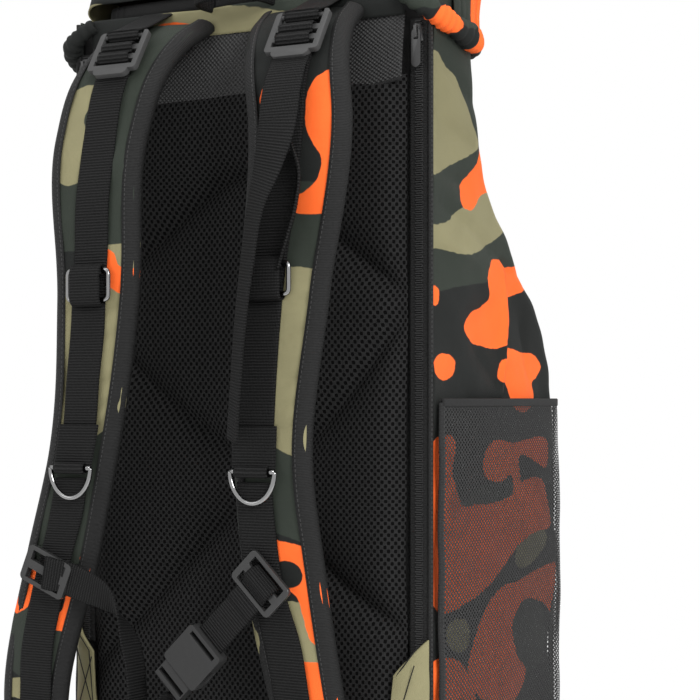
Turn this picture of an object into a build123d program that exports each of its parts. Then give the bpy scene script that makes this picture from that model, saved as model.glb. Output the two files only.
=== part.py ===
"""Top-lid field backpack with a padded harness, as separate sewn, moulded and metal pieces.

Millimetres, +Z up. The back panel lies in the plane y = 0 and the harness hangs in front of it, towards -Y.
+X is towards the wearer's left. The origin is on the ground, below the middle of the back panel.
"""
import os

from build123d import *

# ---------------------------------------------------------------- bag
BAG_WIDTH = 304
BAG_HEIGHT = 600
WALL = 3
HALF = BAG_WIDTH / 2
FRONT_LINE = [(222, 0), (222, 290), (208, 340), (185, 368), (140, 425), (106, 462), (78, 515), (64, 600)]

# ---------------------------------------------------------------- back panel
PAD_HALF = 134
PAD_BOTTOM = 4
PAD_TOP = 536
PAD_THICKNESS = 9.5
YOKE_TOP = 593
SHEET_THICKNESS = 2
STAY_WIDTH = 25
STAY_THICKNESS = 3

# ---------------------------------------------------------------- harness
STRAP_THICKNESS = 14
STRAP_SIDE_LINE = [(-9, 583), (-32, 568), (-52, 541), (-62, 500), (-68, 410), (-66, 320), (-61.2, 258),
                   (-50, 190), (-38, 87), (-33, 48)]
STRAP_HALF_WIDTHS = [(596, 42), (545, 41), (500, 40), (380, 35), (270, 30), (190, 32), (87, 29), (40, 27)]
STRAP_CENTRES = {
    "left": [(596, 57), (560, 68), (500, 82), (380, 73), (270, 61), (190, 62), (87, 76), (40, 84)],
    "right": [(596, -60), (560, -73), (500, -86), (380, -85), (270, -102), (190, -131), (87, -165), (40, -170)],
}
RAIL_CENTRES = {
    "left": [(560, 76), (450, 73), (390, 64), (280, 52), (230, 49), (190, 50), (140, 62), (60, 72)],
    "right": [(560, -76), (450, -84), (390, -86), (280, -101), (230, -115), (190, -131), (140, -149), (60, -164)],
}
SIGNS = {"left": 1, "right": -1}
WEB_WIDTH = 30
STERNUM_WEB_WIDTH = 25
WIRE = 1.75
SLEEVE_INNER = 2.1
SLEEVE_OUTER = 4.2
GAP = 0.3

# Heights of the pieces on each shoulder strap
MID_RING_HEIGHT = 402
D_RING_HEIGHT = 258
SLIDER_HEIGHT = 180
SLIDER_OFFSET = 15.6

# ---------------------------------------------------------------- lid and pockets
LID_PIVOT = (2, 614)
LID_HALF = 156
LID_LINE = [(4, 616), (20, 648), (48, 660), (72, 655), (82, 640), (82, 564), (4, 574)]
LID_WALL = 2.5
LINING_HEIGHT = 620
LID_STRAP_X = 70
POCKET_HALF = 118
POCKET_LINE = [(222.2, 20), (250, 20), (252, 270), (246, 326), (216, 356), (185.5, 368), (208.4, 340), (222.4, 290)]
POCKET_INSIDE = [(152, 22.5), (247.5, 22.5), (249.5, 269.7), (243.6, 324.8), (214.6, 353.8), (152, 378.5)]
MESH_POCKET_TOP = 306
MESH_POCKET_DEPTH = 9

# ---------------------------------------------------------------- sternum buckle
BUCKLE_AXIS = (-0.7071, 0, -0.7071)


def finish(piece, name):
    """Label one finished piece and write it to its own file."""
    piece.part.label = name
    export_step(piece.part, f"parts/{name}.step")


def at_height(table, z):
    """The value at height z, read along straight lines between (z, value) rows that run downwards."""
    for (z_high, high), (z_low, low) in zip(table, table[1:]):
        if z >= z_low:
            share = (z - z_low) / (z_high - z_low)
            return low + min(share, 1) * (high - low)
    return table[-1][1]


def strap_y(z):
    """Depth of the shoulder strap's middle surface at height z."""
    return at_height([(height, depth) for depth, height in STRAP_SIDE_LINE], z)


def offset_line(line, distance):
    """A (y, z) line that runs downwards, moved away from the bag by a distance."""
    moved = []
    for index, (y, z) in enumerate(line):
        before = line[max(index - 1, 0)]
        after = line[min(index + 1, len(line) - 1)]
        tangent = Vector(after[0] - before[0], after[1] - before[1]).normalized()
        moved.append((y + tangent.Y * distance, z - tangent.X * distance))
    return moved


def edge_points(centres, half_widths, top, bottom, side):
    """One edge of a band between two heights, as (x, z) points at the rows of its centre table."""
    heights = [top] + [z for z, _ in centres if bottom + 12 < z < top - 12] + [bottom]
    return [(at_height(centres, z) + side * at_height(half_widths, z), z) for z in heights]


def strap_point(side, z, offset, table=RAIL_CENTRES):
    """A point in front of the strap's middle surface, on the rail's centre line."""
    return (at_height(table[side], z), strap_y(z) - offset, z)


os.makedirs("parts", exist_ok=True)

# ================================================================ bag walls
with BuildPart() as bag_bottom:
    with BuildSketch():
        with Locations((0, -10)):
            Rectangle(BAG_WIDTH - 2 * WALL, 10 + FRONT_LINE[0][0] - WALL - GAP, align=(Align.CENTER, Align.MIN))
    extrude(amount=WALL)
finish(bag_bottom, "bag_bottom")

with BuildPart() as bag_rear:
    with BuildSketch(Plane.XZ):
        with Locations((0, WALL)):
            Rectangle(BAG_WIDTH - 2 * WALL, BAG_HEIGHT - WALL, align=(Align.CENTER, Align.MIN))
    extrude(amount=-2.4)
finish(bag_rear, "bag_rear")

with BuildPart() as bag_front:
    with BuildSketch(Plane.YZ):
        with BuildLine():
            inner_front = [(y - WALL, z) for y, z in reversed(FRONT_LINE)]
            Polyline(*FRONT_LINE, *inner_front, close=True)
        make_face()
    extrude(amount=HALF - WALL, both=True)
finish(bag_front, "bag_front")

for side, sign in SIGNS.items():
    with BuildPart() as bag_side:
        with BuildSketch(Plane.YZ.offset(sign * (HALF - WALL / 2))):
            with BuildLine():
                Polyline((0, 0), *FRONT_LINE, (0, BAG_HEIGHT), close=True)
            make_face()
        extrude(amount=WALL / 2, both=True)
    finish(bag_side, f"bag_side_{side}")

with BuildPart() as snow_collar:
    with BuildSketch(Plane.XY.offset(BAG_HEIGHT + GAP)):
        with Locations((0, 32)):
            Rectangle(270, 48)
            offset(amount=-2, kind=Kind.INTERSECTION, mode=Mode.SUBTRACT)
    extrude(amount=11)
finish(snow_collar, "snow_collar")

# ================================================================ frame and back panel
with BuildPart() as frame_sheet:
    with BuildSketch(Plane.XZ.offset(-2.7)):
        with Locations((0, 300)):
            RectangleRounded(260, 540, 25)
    extrude(amount=-SHEET_THICKNESS)
finish(frame_sheet, "frame_sheet")

with BuildPart() as stays:
    with BuildSketch(Plane.XZ.offset(-5)):
        with Locations((-60, 300), (60, 300)):
            RectangleRounded(STAY_WIDTH, 500, 6)
    extrude(amount=-STAY_THICKNESS)
finish(stays, "stays")

with BuildPart() as back_pad:
    with BuildSketch(Plane.XZ.offset(GAP)):
        with Locations((0, PAD_BOTTOM)):
            Rectangle(2 * PAD_HALF, PAD_TOP - PAD_BOTTOM, align=(Align.CENTER, Align.MIN))
    extrude(amount=PAD_THICKNESS)
    fillet(back_pad.faces().sort_by(Axis.Y)[0].edges(), 4)
finish(back_pad, "back_pad")

with BuildPart() as yoke_panel:
    with BuildSketch(Plane.XZ.offset(GAP)):
        with Locations((0, PAD_TOP + GAP)):
            Rectangle(2 * PAD_HALF, YOKE_TOP - PAD_TOP, align=(Align.CENTER, Align.MIN))
    extrude(amount=3.5)
finish(yoke_panel, "yoke_panel")

# ================================================================ side zips, one each side of the back panel
ZIP_X = 143.5
ZIP_TOP = 574
ZIP_BOTTOM = 122
with BuildPart() as side_zips:
    with BuildSketch(Plane.XZ.offset(GAP)):
        with Locations(*[(sign * ZIP_X, (ZIP_TOP + ZIP_BOTTOM) / 2) for sign in SIGNS.values()]):
            Rectangle(16, ZIP_TOP - ZIP_BOTTOM)
    extrude(amount=1)
    with BuildSketch(Plane.XZ.offset(GAP)):
        with Locations(*[(sign * ZIP_X, (ZIP_TOP + ZIP_BOTTOM) / 2) for sign in SIGNS.values()]):
            Rectangle(6, ZIP_TOP - ZIP_BOTTOM)
    extrude(amount=2.6)
finish(side_zips, "side_zips")

# ================================================================ pockets
with BuildPart() as front_pocket:
    with BuildSketch(Plane.YZ):
        with BuildLine():
            Polyline(*POCKET_LINE, close=True)
        make_face()
    extrude(amount=POCKET_HALF, both=True)
    with BuildSketch(Plane.YZ):
        with BuildLine():
            Polyline(*POCKET_INSIDE, close=True)
        make_face()
    extrude(amount=POCKET_HALF - 2.5, both=True, mode=Mode.SUBTRACT)
    with BuildSketch(Plane.XZ.offset(-203)):
        with Locations((0, 336)):
            Rectangle(200, 9)
    extrude(amount=-50, mode=Mode.SUBTRACT)
finish(front_pocket, "front_pocket")

pocket_slope = Plane(origin=(0, 235.8, 335.9), x_dir=(1, 0, 0), z_dir=(0, 1, 1))
with BuildPart() as front_zip:
    with BuildSketch(pocket_slope.offset(-1.6)):
        Rectangle(199, 6)
    extrude(amount=1.6)
finish(front_zip, "front_zip")

for side, sign in SIGNS.items():
    with BuildPart() as mesh_pocket:
        with BuildSketch(Plane.YZ.offset(sign * (HALF + GAP))):
            with BuildLine():
                Polyline((16, 6), (214, 6), (210, MESH_POCKET_TOP), (16, MESH_POCKET_TOP), close=True)
            make_face()
        extrude(amount=sign * MESH_POCKET_DEPTH)
        with BuildSketch(Plane.YZ.offset(sign * (HALF + GAP))):
            with BuildLine():
                Polyline((17.5, 7.5), (212.5, 7.5), (208.5, MESH_POCKET_TOP), (17.5, MESH_POCKET_TOP), close=True)
            make_face()
        extrude(amount=sign * (MESH_POCKET_DEPTH - 1.5), mode=Mode.SUBTRACT)
    finish(mesh_pocket, f"mesh_pocket_{side}")

with BuildPart() as wings:
    for sign in SIGNS.values():
        with BuildSketch(Plane.XZ.offset(10.2)):
            with BuildLine():
                Polyline((sign * 151, 24), (sign * 151, 141), (sign * 130, 116), (sign * 124, 52), close=True)
            make_face()
        extrude(amount=3)
        with BuildSketch(Plane.XZ.offset(3.2)):
            with Locations((sign * 148.5, 82.5)):
                Rectangle(5, 117)
        extrude(amount=7)
finish(wings, "wings")

# ================================================================ lid
with BuildPart() as lid_shell:
    with BuildSketch(Plane.YZ):
        with BuildLine():
            Polyline(*LID_LINE, close=True)
        make_face()
    extrude(amount=LID_HALF, both=True)
    with BuildSketch(Plane.YZ):
        with BuildLine():
            Polyline((-5, 560), (-5, 613), (7, 613), (21.7, 645.9), (48.3, 657.4), (70.9, 652.8), (79.5, 639),
                     (79.5, 560), close=True)
        make_face()
    extrude(amount=LID_HALF - LID_WALL, both=True, mode=Mode.SUBTRACT)
    with BuildSketch(Plane.XZ.offset(-78)):
        with Locations((0, 629)):
            Rectangle(220, 7)
    extrude(amount=-5, mode=Mode.SUBTRACT)
finish(lid_shell, "lid_shell")

with BuildPart() as lid_lining:
    with BuildSketch(Plane.XY.offset(LINING_HEIGHT)):
        with Locations((0, 12)):
            Rectangle(2 * (LID_HALF - LID_WALL - GAP), 67, align=(Align.CENTER, Align.MIN))
    extrude(amount=2)
finish(lid_lining, "lid_lining")

with BuildPart() as lid_zip:
    with BuildSketch(Plane.XZ.offset(-80)):
        with Locations((0, 629)):
            Rectangle(219, 6.4)
    extrude(amount=-2)
finish(lid_zip, "lid_zip")

# ================================================================ zip sliders and pulls
# Each plane lies on its zip's teeth, with its y axis towards the closed end.
ZIP_SPOTS = {
    "side_zip_{}_left": Plane(origin=(ZIP_X, -3.2, ZIP_TOP - 10), x_dir=(1, 0, 0), z_dir=(0, -1, 0)),
    "side_zip_{}_right": Plane(origin=(-ZIP_X, -3.2, ZIP_TOP - 10), x_dir=(1, 0, 0), z_dir=(0, -1, 0)),
    "lid_zip_{}": Plane(origin=(98, 82.3, 629), x_dir=(0, 0, 1), z_dir=(0, 1, 0)),
    "front_zip_{}": Plane(origin=(88, 236, 336.1), x_dir=(0, -1, 1), z_dir=(0, 1, 1)),
}
for pattern, spot in ZIP_SPOTS.items():
    with BuildPart() as zip_slider:
        with BuildSketch(spot):
            Trapezoid(9, 13, 80)
        extrude(amount=2)
        with BuildSketch(Plane(origin=spot.origin, x_dir=spot.y_dir, z_dir=spot.x_dir)):
            with Locations((0, 3.6)):
                Rectangle(9, 4.4)
                Rectangle(5.4, 2.1, mode=Mode.SUBTRACT)
        extrude(amount=1.1, both=True)
    finish(zip_slider, pattern.format("slider"))

    with BuildPart() as zip_pull:
        with BuildSketch(spot.offset(3.05)):
            with Locations((0, -11)):
                SlotOverall(27, 7, rotation=90)
                with Locations((0, 9.1)):
                    RectangleRounded(3.2, 6.8, 0.4, mode=Mode.SUBTRACT)
        extrude(amount=1.1)
    finish(zip_pull, pattern.format("pull"))

LID_STRAP_LINE = [(86, 610), (86, 575), (88, 520), (113, 466), (144.9, 428), (178.9, 385)]
with BuildPart() as lid_straps:
    for sign in SIGNS.values():
        with BuildSketch(Plane.YZ.offset(sign * LID_STRAP_X)):
            with BuildLine():
                outer_line = [(y + 1.6, z) for y, z in reversed(LID_STRAP_LINE)]
                Polyline(*LID_STRAP_LINE, *outer_line, close=True)
            make_face()
        extrude(amount=STERNUM_WEB_WIDTH / 2, both=True)
        with BuildSketch(Plane.XZ.offset(-82.2)):
            with Locations((sign * LID_STRAP_X, 600)):
                Rectangle(STERNUM_WEB_WIDTH, 18)
        extrude(amount=-4)
finish(lid_straps, "lid_straps")

SNAP_HEIGHT = 404
snap_plane = Plane(origin=(0, 163.9, SNAP_HEIGHT), x_dir=(1, 0, 0), z_dir=(0, 57, 45))
with BuildPart() as snap_tops:
    with BuildSketch(snap_plane.offset(1.6)):
        with Locations((-LID_STRAP_X, 0), (LID_STRAP_X, 0)):
            Circle(7)
    extrude(amount=2.2)
finish(snap_tops, "snap_tops")

with BuildPart() as snap_bases:
    with BuildSketch(snap_plane.offset(-5.6)):
        with Locations((-LID_STRAP_X, 0), (LID_STRAP_X, 0)):
            Circle(6)
    extrude(amount=4)
finish(snap_bases, "snap_bases")

# ================================================================ haul loop
LOOP_PIVOT = (-2, 603)
with BuildPart() as haul_loop:
    with BuildSketch(Plane.XY.offset(LOOP_PIVOT[1] - 9)):
        with BuildLine():
            Polyline((-27, -1.5), (-27, -18))
            ThreePointArc((-27, -18), (0, -45), (27, -18))
            Polyline((27, -18), (27, -1.5))
            offset(amount=1.5, side=Side.BOTH)
        make_face()
    extrude(amount=18)
finish(haul_loop, "haul_loop")

# ================================================================ harness bands, nested in front of each other
HALF_WEB = [(600, WEB_WIDTH / 2), (0, WEB_WIDTH / 2)]
HALF_TAB = [(600, 19), (0, 19)]
LOWER_LOCK_HEIGHT = 52
# name, tables, inner and outer offset, top, bottom, height of a sleeve round a bar (or None)
BANDS = [
    ("strap_pad", STRAP_CENTRES, STRAP_HALF_WIDTHS, -STRAP_THICKNESS / 2, STRAP_THICKNESS / 2, 594, 48, None),
    ("rail_web", RAIL_CENTRES, HALF_WEB, 7.3, 9.3, 546, 294, MID_RING_HEIGHT),
    ("ring_tab", RAIL_CENTRES, HALF_TAB, 7.3, 9.3, 293, 258, D_RING_HEIGHT),
    ("lower_rail", RAIL_CENTRES, HALF_WEB, 7.3, 9.3, 251, 52, LOWER_LOCK_HEIGHT),
]
for name, centres, halves, inner, outer, top, bottom, sleeve in BANDS:
    for side in centres:
        with BuildPart() as band:
            with BuildSketch(Plane.YZ):
                with BuildLine():
                    near = Spline(*offset_line(STRAP_SIDE_LINE, inner))
                    far = Spline(*offset_line(STRAP_SIDE_LINE, outer))
                    Line(near @ 0, far @ 0)
                    Line(near @ 1, far @ 1)
                make_face()
            extrude(amount=220, both=True)
            with BuildSketch(Plane.XZ):
                with BuildLine():
                    low_x = Spline(*edge_points(centres[side], halves, top, bottom, -1))
                    high_x = Spline(*edge_points(centres[side], halves, top, bottom, 1))
                    Line(low_x @ 0, high_x @ 0)
                    Line(low_x @ 1, high_x @ 1)
                make_face()
            extrude(amount=120, both=True, mode=Mode.INTERSECT)
            if sleeve:
                x, y, z = strap_point(side, sleeve, 7.3 + SLEEVE_OUTER)
                with BuildSketch(Plane.YZ.offset(x)):
                    with Locations((y, z)):
                        Circle(SLEEVE_OUTER)
                extrude(amount=13.5, both=True)
                with BuildSketch(Plane.YZ.offset(x)):
                    with Locations((y, z)):
                        Circle(SLEEVE_INNER)
                extrude(amount=13.5, both=True, mode=Mode.SUBTRACT)
        finish(band, f"{name}_{side}")

# The loose end of the webbing, turned edge-on in its lower half
TAIL_LINE = [(-74.5, 544), (-80.5, 500), (-84.5, 420), (-84, 330), (-80, 282)]
with BuildPart() as lifter_tail:
    with BuildSketch(Plane.YZ):
        with BuildLine():
            outer_line = [(y - 1.8, z) for y, z in reversed(TAIL_LINE)]
            Polyline(*TAIL_LINE, *outer_line, close=True)
        make_face()
    extrude(amount=220, both=True)
    with BuildSketch(Plane.XZ):
        with BuildLine():
            Polyline((57, 545), (87, 545), (71, 470), (44, 420), (41, 281), (31, 281), (34, 420), (45, 470), close=True)
        make_face()
    extrude(amount=120, both=True, mode=Mode.INTERSECT)
finish(lifter_tail, "lifter_tail_left")

# ================================================================ rings and locks on each strap
LOCK_PIVOT = (-46, 575)
LOCK_NORMAL = (0, -0.84, 0.54)
WING_HOLD = {"left": 139, "right": -130}
with BuildPart() as lock_anchors:
    for side in SIGNS:
        lock_x = at_height(RAIL_CENTRES[side], 560)
        with BuildSketch(Plane.YZ.offset(lock_x)):
            with BuildLine():
                Polyline((-46, 577.2), (-0.3, 597.6), (-0.3, 599.6), (-46, 579.3), close=True)
            make_face()
            with Locations(LOCK_PIVOT):
                Circle(SLEEVE_OUTER)
        extrude(amount=13.5, both=True)
        with BuildSketch(Plane.YZ.offset(lock_x)):
            with Locations(LOCK_PIVOT):
                Circle(SLEEVE_INNER)
        extrude(amount=13.5, both=True, mode=Mode.SUBTRACT)
finish(lock_anchors, "lock_anchors")

for side, sign in SIGNS.items():
    lock_x = at_height(RAIL_CENTRES[side], 560)
    lower_x, lower_y, lower_z = strap_point(side, LOWER_LOCK_HEIGHT, 7.3 + SLEEVE_OUTER)
    lock_planes = {
        "ladder_lock": Plane(origin=(lock_x, *LOCK_PIVOT), x_dir=(1, 0, 0), z_dir=LOCK_NORMAL),
        "lower_lock": Plane(origin=(lower_x, lower_y, lower_z), x_dir=(1, 0, 0), z_dir=(0, -1, 0)),
    }
    for name, plane in lock_planes.items():
        with BuildPart() as lock:
            with BuildSketch(plane.offset(-2.2)):
                with Locations((0, -14.5)):
                    RectangleRounded(43, 36, 3)
                with Locations((0, -3)):
                    Rectangle(34, 14.4, mode=Mode.SUBTRACT)
                with Locations((0, -17), (0, -26)):
                    Rectangle(34, 4.5, mode=Mode.SUBTRACT)
                with Locations((0, -33)):
                    SlotOverall(30, 9)
            extrude(amount=4.4)
            with BuildSketch(Plane(origin=plane.origin, x_dir=plane.y_dir, z_dir=plane.x_dir)):
                Circle(WIRE)
            extrude(amount=18, both=True)
        finish(lock, f"{name}_{side}")

    x, y, z = strap_point(side, MID_RING_HEIGHT, 7.3 + SLEEVE_OUTER)
    with BuildPart() as mid_ring:
        with BuildLine(Plane.XZ.offset(-y)):
            wire = FilletPolyline((x - 18, z), (x + 18, z), (x + 18, z - 22), (x - 18, z - 22), radius=3, close=True)
        with BuildSketch(Plane(origin=wire @ 0, z_dir=wire % 0)):
            Circle(WIRE)
        sweep()
    finish(mid_ring, f"mid_ring_{side}")

    x, y, z = strap_point(side, D_RING_HEIGHT, 7.3 + SLEEVE_OUTER)
    with BuildPart() as d_ring:
        with BuildLine(Plane.XZ.offset(-y)):
            ThreePointArc((x - 18, z), (x, z - 22), (x + 18, z))
        with BuildSketch(Plane(origin=(x - 18, y, z), x_dir=(0, 1, 0), z_dir=(0.25, 0, -1))):
            Circle(WIRE)
        sweep()
        with BuildSketch(Plane.YZ.offset(x)):
            with Locations((y, z)):
                Circle(WIRE)
        extrude(amount=18, both=True)
    finish(d_ring, f"d_ring_{side}")

    start = Vector(lower_x + 24, lower_y + 1, 27)
    end = Vector(WING_HOLD[side], -15.2, 36)
    run = (end - start).normalized()
    with BuildPart() as lower_web:
        with BuildSketch(Plane(origin=(start + end) / 2, x_dir=run, z_dir=run.cross(Vector(0, 0, 1)))):
            Rectangle((end - start).length, STERNUM_WEB_WIDTH)
        extrude(amount=0.8, both=True)
    finish(lower_web, f"lower_web_{side}")

# ================================================================ sternum strap
SLIDER_TILT = {"left": (0.7071, 0, -0.7071), "right": (0.92, 0, -0.38)}
for side, sign in SIGNS.items():
    x, y, z = strap_point(side, SLIDER_HEIGHT, SLIDER_OFFSET)
    with BuildPart() as sternum_slider:
        with BuildSketch(Plane(origin=(x, y, z), x_dir=SLIDER_TILT[side], z_dir=(0, -1, 0))):
            RectangleRounded(42, 28, 4)
            with Locations((0, -7), (0, 7)):
                Rectangle(32, 7.5, mode=Mode.SUBTRACT)
        extrude(amount=2, both=True)
    finish(sternum_slider, f"sternum_slider_{side}")

slider_x, slider_y, slider_z = strap_point("left", SLIDER_HEIGHT, SLIDER_OFFSET)
web_plane = Plane(origin=(slider_x, slider_y, slider_z), x_dir=BUCKLE_AXIS, z_dir=(0, -1, 0))
WEB_START = 14.4
SOCKET_START = 60
SOCKET_LENGTH = 34
with BuildPart() as sternum_web_left:
    with BuildSketch(web_plane):
        with Locations((WEB_START, 0)):
            Rectangle(SOCKET_START - WEB_START - GAP, STERNUM_WEB_WIDTH, align=(Align.MIN, Align.CENTER))
    extrude(amount=0.8, both=True)
finish(sternum_web_left, "sternum_web_left")

with BuildPart() as buckle_socket:
    with BuildSketch(web_plane):
        with Locations((SOCKET_START + SOCKET_LENGTH / 2, 0)):
            RectangleRounded(SOCKET_LENGTH, 35, 3)
        with Locations((SOCKET_START + 4.5, 0)):
            Rectangle(3.5, 26, mode=Mode.SUBTRACT)
    extrude(amount=5.5, both=True)
    with BuildSketch(web_plane):
        with Locations((SOCKET_START + 9, 0)):
            Rectangle(40, 29, align=(Align.MIN, Align.CENTER))
        with Locations((SOCKET_START + 20, 0)):
            Rectangle(12, 50)
    extrude(amount=3.8, both=True, mode=Mode.SUBTRACT)
finish(buckle_socket, "buckle_socket")

PLUG_START = SOCKET_START + SOCKET_LENGTH + GAP
with BuildPart() as buckle_plug:
    with BuildSketch(web_plane):
        with Locations((PLUG_START, 0)):
            Rectangle(14, 28, align=(Align.MIN, Align.CENTER))
        with Locations((PLUG_START + 8.5, 0)):
            Rectangle(4, 26, mode=Mode.SUBTRACT)
    extrude(amount=4.6, both=True)
    with BuildSketch(web_plane):
        with Locations((PLUG_START - 22, 0)):
            Rectangle(22, 5, align=(Align.MIN, Align.CENTER))
    extrude(amount=3.2, both=True)
finish(buckle_plug, "buckle_plug")

for name, sign in (("prong_upper", -1), ("prong_lower", 1)):
    with BuildPart() as prong:
        with BuildSketch(web_plane):
            with BuildLine():
                Polyline((PLUG_START - 0.4, sign * 13.4), (PLUG_START - 0.4, sign * 10.8),
                         (PLUG_START - 12, sign * 10.2), (PLUG_START - 21, sign * 8),
                         (PLUG_START - 21, sign * 12), (PLUG_START - 12, sign * 14.1), close=True)
            make_face()
        extrude(amount=3.2, both=True)
    finish(prong, f"buckle_{name}")

SLACK_Y = -64.4
with BuildPart() as sternum_web_right:
    with BuildSketch(Plane.XZ.offset(-SLACK_Y - 12.5)):
        with BuildLine():
            FilletPolyline((-103, 172), (-73, 158), (-54, 125), (-51, 78), radius=12)
            offset(amount=0.8, side=Side.BOTH)
        make_face()
    extrude(amount=25)
finish(sternum_web_right, "sternum_web_right")

with BuildPart() as sternum_web_slack:
    with BuildSketch(Plane.XZ.offset(-SLACK_Y - 12.5)):
        with BuildLine():
            FilletPolyline((-51, 76), (-51, 58), (-36, 58), (-36, 86), (-26.4, 95.6), radius=5)
            offset(amount=0.8, side=Side.BOTH)
        make_face()
    extrude(amount=25)
finish(sternum_web_slack, "sternum_web_slack")
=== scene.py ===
"""A camouflage hunting backpack seen from its harness side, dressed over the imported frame."""

import bmesh
import bpy
import numpy as np
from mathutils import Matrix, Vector


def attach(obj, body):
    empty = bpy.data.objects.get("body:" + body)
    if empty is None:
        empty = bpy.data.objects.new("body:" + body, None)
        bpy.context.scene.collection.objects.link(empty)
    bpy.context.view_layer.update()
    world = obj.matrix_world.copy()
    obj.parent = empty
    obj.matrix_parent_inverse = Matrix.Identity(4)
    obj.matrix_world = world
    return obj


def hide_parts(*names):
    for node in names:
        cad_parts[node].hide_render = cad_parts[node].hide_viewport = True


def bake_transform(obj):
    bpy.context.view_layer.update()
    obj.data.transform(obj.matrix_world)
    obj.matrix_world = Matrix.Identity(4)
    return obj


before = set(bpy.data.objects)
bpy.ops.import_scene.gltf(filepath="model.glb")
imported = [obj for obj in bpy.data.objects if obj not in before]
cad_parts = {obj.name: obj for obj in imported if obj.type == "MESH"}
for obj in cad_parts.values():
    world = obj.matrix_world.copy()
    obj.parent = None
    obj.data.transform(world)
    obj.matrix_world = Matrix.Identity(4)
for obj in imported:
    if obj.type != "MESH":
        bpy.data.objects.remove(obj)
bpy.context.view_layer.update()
TURN = 2 * np.pi

# ---------------------------------------------------------------- lines the soft pieces follow, in metres
FRONT = [(0, .224), (.2, .226), (.29, .222), (.335, .212), (.36, .198), (.385, .176), (.405, .158), (.425, .139),
         (.462, .107), (.515, .079), (.6, .066)]
LID_PROFILE = [(.081, .562), (.0818, .6), (.0812, .636), (.072, .654), (.048, .661), (.02, .649), (.003, .613)]
POCKET_PROFILE = [(.223, .021), (.247, .02), (.251, .045), (.2525, .27), (.2455, .326), (.236, .3355), (.226, .3455),
                  (.216, .3555), (.178, .371)]
STRAP_LINE = [(-.009, .583), (-.032, .568), (-.052, .541), (-.062, .5), (-.068, .41), (-.066, .32),
              (-.0612, .258), (-.05, .19), (-.038, .087), (-.033, .048)]
STRAP_HALVES = [(.596, .042), (.545, .041), (.5, .04), (.38, .035), (.27, .03), (.19, .032), (.087, .029),
                (.04, .027)]
STRAP_CENTRES = {
    "left": [(.596, .057), (.56, .068), (.5, .082), (.38, .073), (.27, .061), (.19, .062), (.087, .076),
             (.04, .084)],
    "right": [(.596, -.06), (.56, -.073), (.5, -.086), (.38, -.085), (.27, -.102), (.19, -.131),
              (.087, -.165), (.04, -.17)],
}
RAIL_CENTRES = {
    "left": [(.56, .076), (.45, .073), (.39, .064), (.28, .052), (.23, .049), (.19, .05), (.14, .062),
             (.06, .072)],
    "right": [(.56, -.076), (.45, -.084), (.39, -.086), (.28, -.101), (.23, -.115), (.19, -.131),
              (.14, -.149), (.06, -.164)],
}
SIGNS = {"left": 1, "right": -1}
CLOTH = .0012
LINED_CLOTH = .0014
PAD_HALF = .134
FITTING_DEPTH = .0115  # from a strap's middle out to its rings and locks
PAD_SEAMS = [[(-.134, .38), (-.07, .428), (0, .472), (.012, .474), (.07, .43), (.134, .382)],
             [(.134, .367), (.07, .29), (-.004, .226), (-.089, .147), (-.134, .104)],
             [(-.134, .372), (-.075, .316), (-.006, .268), (.076, .183), (.149, .136)]]


# ---------------------------------------------------------------- numbers
def at(table, place):
    """Values of a (place, value) table along a smooth curve through its rows."""
    rows = np.array(sorted(table), float)
    xs, ys = rows[:, 0], rows[:, 1]
    slopes = np.gradient(ys, xs)
    i = np.clip(np.searchsorted(xs, place) - 1, 0, len(xs) - 2)
    span = xs[i + 1] - xs[i]
    t = np.clip((place - xs[i]) / span, 0, 1)
    return (ys[i] * (2 * t**3 - 3 * t**2 + 1) + span * slopes[i] * (t**3 - 2 * t**2 + t)
            + ys[i + 1] * (3 * t**2 - 2 * t**3) + span * slopes[i + 1] * (t**3 - t**2))


def track(points, step=.003, smooth=True):
    """Evenly spaced points along a line through the given ones."""
    points = np.array(points, float)
    run = np.r_[0, np.cumsum(np.linalg.norm(np.diff(points, axis=0), axis=1))]
    fine = np.linspace(0, run[-1], 30 * len(points))
    if smooth:
        line = np.stack([at(list(zip(run, column)), fine) for column in points.T], 1)
    else:
        line = np.stack([np.interp(fine, run, column) for column in points.T], 1)
    length = np.r_[0, np.cumsum(np.linalg.norm(np.diff(line, axis=0), axis=1))]
    even = np.linspace(0, length[-1], max(3, int(round(length[-1] / step)) + 1))
    return np.stack([np.interp(even, length, column) for column in line.T], 1)


def unit(vectors):
    """The vectors at length 1."""
    return vectors / np.maximum(np.linalg.norm(vectors, axis=-1, keepdims=True), 1e-9)


def lumps(points, size, seed):
    """A smooth random field of spread 1 whose lumps are about size metres across."""
    chance = np.random.default_rng(seed)
    total = 0
    for _ in range(16):
        way = unit(chance.normal(size=3)) * TURN / (size * chance.uniform(1.4, 3.4))
        total = total + np.sin(points @ way + chance.uniform(0, TURN))
    return total / 2.8


def oval(width, height, power=2, count=24):
    """A closed section that starts at the middle of its lower side."""
    turn = np.linspace(-TURN / 4, TURN * 3 / 4, 721)
    loop = np.stack([np.sign(np.cos(turn)) * np.abs(np.cos(turn)) ** (2 / power) * width / 2,
                     np.sign(np.sin(turn)) * np.abs(np.sin(turn)) ** (2 / power) * height / 2], 1)
    run = np.r_[0, np.cumsum(np.linalg.norm(np.diff(loop, axis=0), axis=1))]
    even = np.linspace(0, run[-1], count + 1)
    return np.stack([np.interp(even, run, loop[:, 0]), np.interp(even, run, loop[:, 1])], 1)


def swept(path, side, section):
    """Rows of points: the section carried along the path, its first axis along side."""
    path = np.asarray(path, float)
    along = unit(np.gradient(path, axis=0))
    side = np.broadcast_to(np.asarray(side, float), path.shape)
    side = unit(side - along * np.sum(side * along, 1, keepdims=True))
    up = np.cross(along, side)
    section = np.broadcast_to(section, (len(path), *np.shape(section)[-2:]))
    return path[:, None] + side[:, None] * section[..., :1] + up[:, None] * section[..., 1:]


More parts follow.
